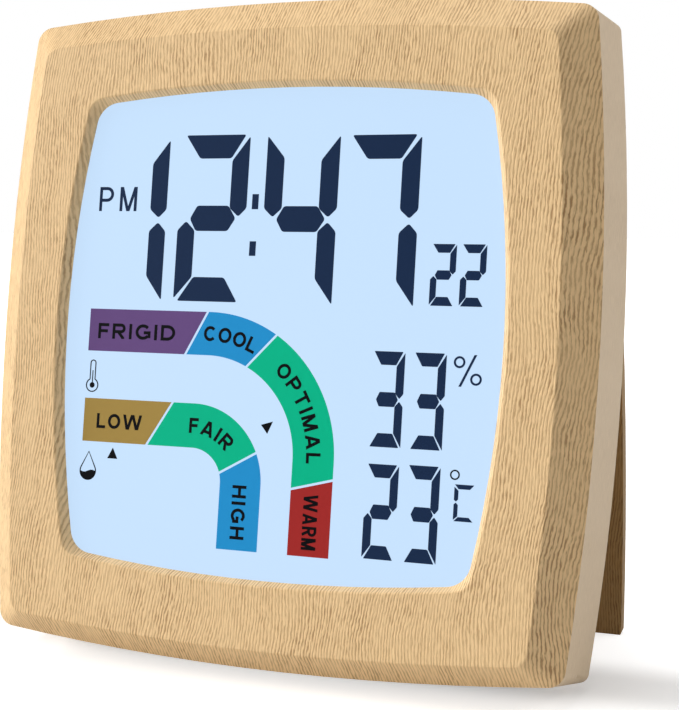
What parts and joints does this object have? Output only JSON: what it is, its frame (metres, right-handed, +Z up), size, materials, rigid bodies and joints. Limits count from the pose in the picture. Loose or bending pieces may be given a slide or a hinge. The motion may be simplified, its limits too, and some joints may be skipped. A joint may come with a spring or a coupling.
{
  "type": "home weather station",
  "caption": "Free-standing home weather station with a bowed wood-look case, a colour-banded display and a fold-out back stand.",
  "frame": {"origin": "centre of the bounding box in X and Y, on the table under the lower back edge of the case and the open stand", "axes": "+X to the right seen from the front, +Y away from the viewer, +Z up; the case leans back by 8.9 degrees"},
  "size_m": [0.1104, 0.0612, 0.1157],
  "materials": {
    "wood_frame": "embossed wood grain",
    "wood_housing": "fine satin, wood colour",
    "wood_stand": "embossed wood grain",
    "display_film": "satin polariser",
    "display_glass": "clear",
    "rear_film": "satin",
    "acrylic": "clear acrylic",
    "mirror_film": "silver film",
    "led_white": "white",
    "strip_white": "white flexible strip",
    "inner_plastic": "natural",
    "screw_steel": "zinc plated",
    "zebra_rubber": "matte",
    "board_green": "solder mask",
    "chip_black": "epoxy",
    "can_metal": "satin",
    "sensor_white": "matte",
    "switch_black": "matte",
    "cell_jacket": "printed jacket, plain",
    "contact_metal": "nickel plated",
    "pin_steel": "ground",
    "button_plastic": "satin"
  },
  "bodies": {
    "case": {"front_frame": "wood_frame", "rear_housing": "wood_housing", "lcd_front_film": "display_film", "lcd_front_glass": "display_glass", "lcd_rear_glass": "display_glass", "lcd_rear_film": "rear_film", "light_guide": "acrylic", "reflector_film": "mirror_film", "backlight_leds": "led_white", "led_strip": "strip_white", "lcd_holder": "inner_plastic", "holder_screws": "screw_steel", "zebra_strip": "zebra_rubber", "main_board": "board_green", "board_screws": "screw_steel", "controller_blob": "chip_black", "buzzer": "chip_black", "clock_crystal": "can_metal", "climate_sensor": "sensor_white", "key_switches": "switch_black", "battery_upper": "cell_jacket", "battery_lower": "cell_jacket", "battery_contacts": "contact_metal", "contact_bridge": "contact_metal", "case_screws": "screw_steel", "hinge_pins": "pin_steel"},
    "stand": {"stand_panel": "wood_stand"},
    "door": {"battery_door": "wood_housing"},
    "mode_key": {"button_mode": "button_plastic"},
    "up_key": {"button_up": "button_plastic"},
    "down_key": {"button_down": "button_plastic"},
    "unit_key": {"button_unit": "button_plastic"}
  },
  "joints": [
    {"name": "stand_hinge", "type": "hinge", "parent": "case", "child": "stand", "pos_m": [0, 0.01076, 0.10441], "axis": [1, 0, 0], "range_deg": [-19.25, 0]},
    {"name": "door_slide", "type": "slide", "parent": "case", "child": "door", "axis": [0, -0.1547, -0.988], "range_m": [0, 0.006]},
    {"name": "mode_press", "type": "slide", "parent": "case", "child": "mode_key", "axis": [0, -0.988, 0.1547], "range_m": [0, 0.0005], "stiffness_N_per_m": 600, "springref_m": -0.0002},
    {"name": "up_press", "type": "slide", "parent": "case", "child": "up_key", "axis": [0, -0.988, 0.1547], "range_m": [0, 0.0005], "stiffness_N_per_m": 600, "springref_m": -0.0002},
    {"name": "down_press", "type": "slide", "parent": "case", "child": "down_key", "axis": [0, -0.988, 0.1547], "range_m": [0, 0.0005], "stiffness_N_per_m": 600, "springref_m": -0.0002},
    {"name": "unit_press", "type": "slide", "parent": "case", "child": "unit_key", "axis": [0, -0.988, 0.1547], "range_m": [0, 0.0005], "stiffness_N_per_m": 600, "springref_m": -0.0002}
  ]
}
